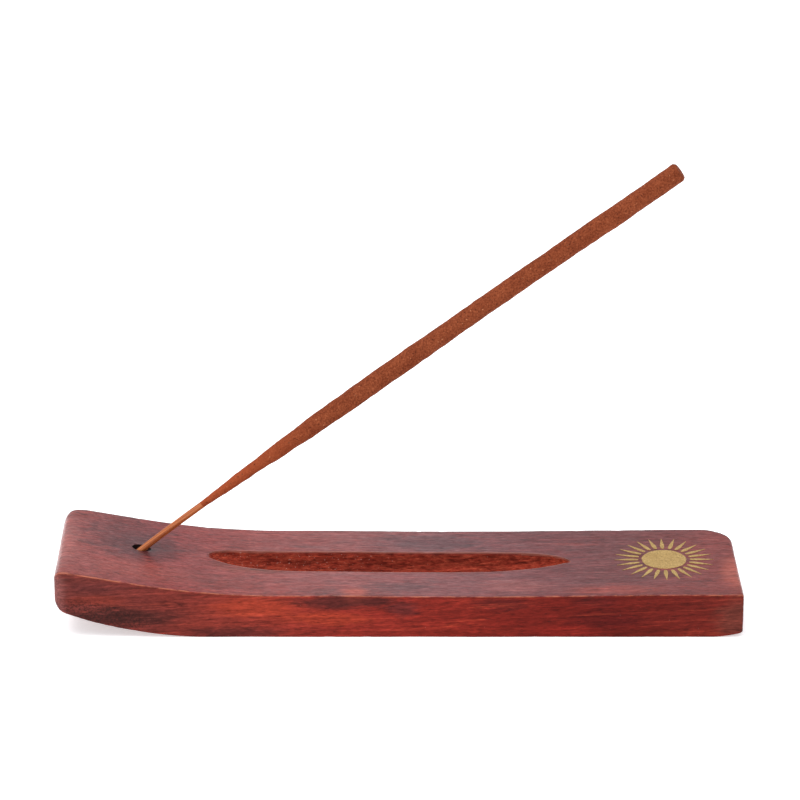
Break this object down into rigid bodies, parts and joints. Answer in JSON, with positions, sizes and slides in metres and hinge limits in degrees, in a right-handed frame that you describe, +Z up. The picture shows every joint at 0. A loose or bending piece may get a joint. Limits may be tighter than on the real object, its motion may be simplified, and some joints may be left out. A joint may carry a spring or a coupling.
{
  "type": "incense burner",
  "caption": "Curved wooden ash catcher with an ash trough, an angled socket holding a thick incense stick, and a gold sun print.",
  "frame": {"origin": "on the resting surface, under the middle of the wooden board", "axes": "+X along the board towards the end with the sun, +Y across the board, +Z up"},
  "size_m": [0.14, 0.033, 0.0954],
  "materials": {
    "dyed_wood": "red-brown dyed hardwood, thin satin varnish, worn edges",
    "gold_ink": "matte gold pigment ink, screen printed",
    "bamboo": "dyed split bamboo, smooth",
    "incense": "hand-rolled incense paste, matte and granular"
  },
  "bodies": {
    "board": {"wood_base": "dyed_wood", "sun_disc": "gold_ink", "sun_ray_01": "gold_ink", "sun_ray_02": "gold_ink", "sun_ray_03": "gold_ink", "sun_ray_04": "gold_ink", "sun_ray_05": "gold_ink", "sun_ray_06": "gold_ink", "sun_ray_07": "gold_ink", "sun_ray_08": "gold_ink", "sun_ray_09": "gold_ink", "sun_ray_10": "gold_ink", "sun_ray_11": "gold_ink", "sun_ray_12": "gold_ink", "sun_ray_13": "gold_ink", "sun_ray_14": "gold_ink", "sun_ray_15": "gold_ink", "sun_ray_16": "gold_ink", "sun_ray_17": "gold_ink", "sun_ray_18": "gold_ink", "sun_ray_19": "gold_ink", "sun_ray_20": "gold_ink", "sun_ray_21": "gold_ink", "sun_ray_22": "gold_ink", "sun_ray_23": "gold_ink", "sun_ray_24": "gold_ink"},
    "stick": {"bamboo_core": "bamboo", "incense_paste": "incense"}
  },
  "joints": [
    {"name": "stick_pull", "type": "slide", "parent": "board", "child": "stick", "axis": [0.7965, 0, 0.6046], "range_m": [0, 0.03]}
  ]
}
